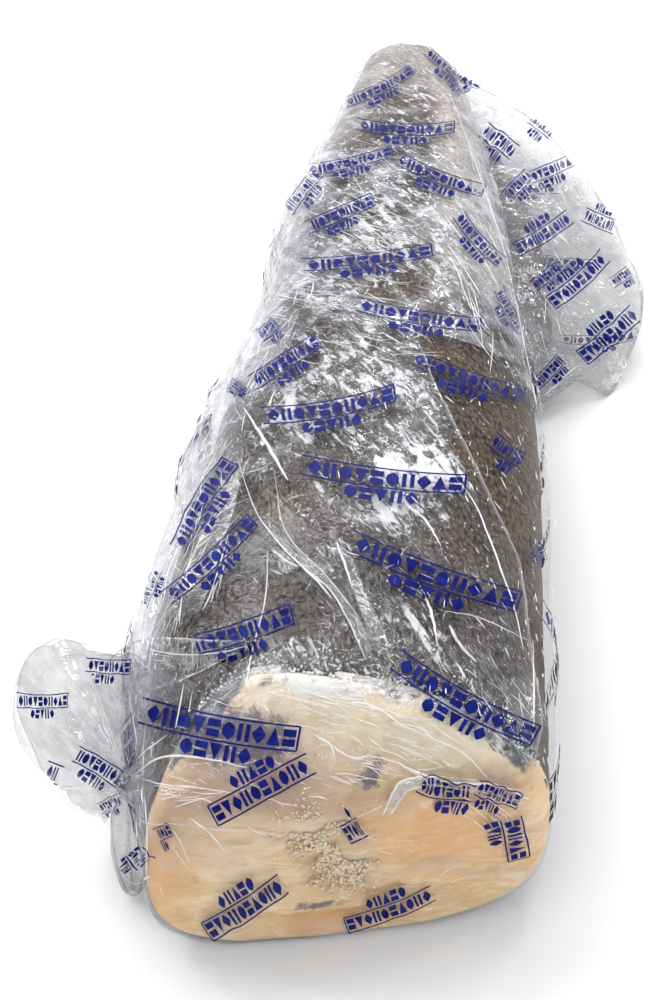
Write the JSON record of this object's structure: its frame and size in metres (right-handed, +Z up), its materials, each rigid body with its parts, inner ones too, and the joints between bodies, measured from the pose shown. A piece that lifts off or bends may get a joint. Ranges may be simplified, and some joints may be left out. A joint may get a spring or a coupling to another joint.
{
  "type": "film-wrapped frozen hake trunk",
  "caption": "Frozen hake, headed and gutted, lying on its belly in tight clear printed film, with a gathered film end at the cut and a puffed loose film end near the tail.",
  "frame": {"origin": "middle of the part's bounding box, on the surface it lies on", "axes": "+Y along the trunk from the cut end towards the tail, +Z up, +X to the right of someone who faces the cut end"},
  "size_m": [0.2282, 0.64, 0.0951],
  "materials": {
    "wrapped_fish": "glossy",
    "clear_film": "glossy",
    "fish_skin": "satin",
    "cut_flesh": "satin",
    "frost": "matte"
  },
  "bodies": {
    "root": {"film_wrapped_hake": "wrapped_fish"}
  },
  "joints": []
}
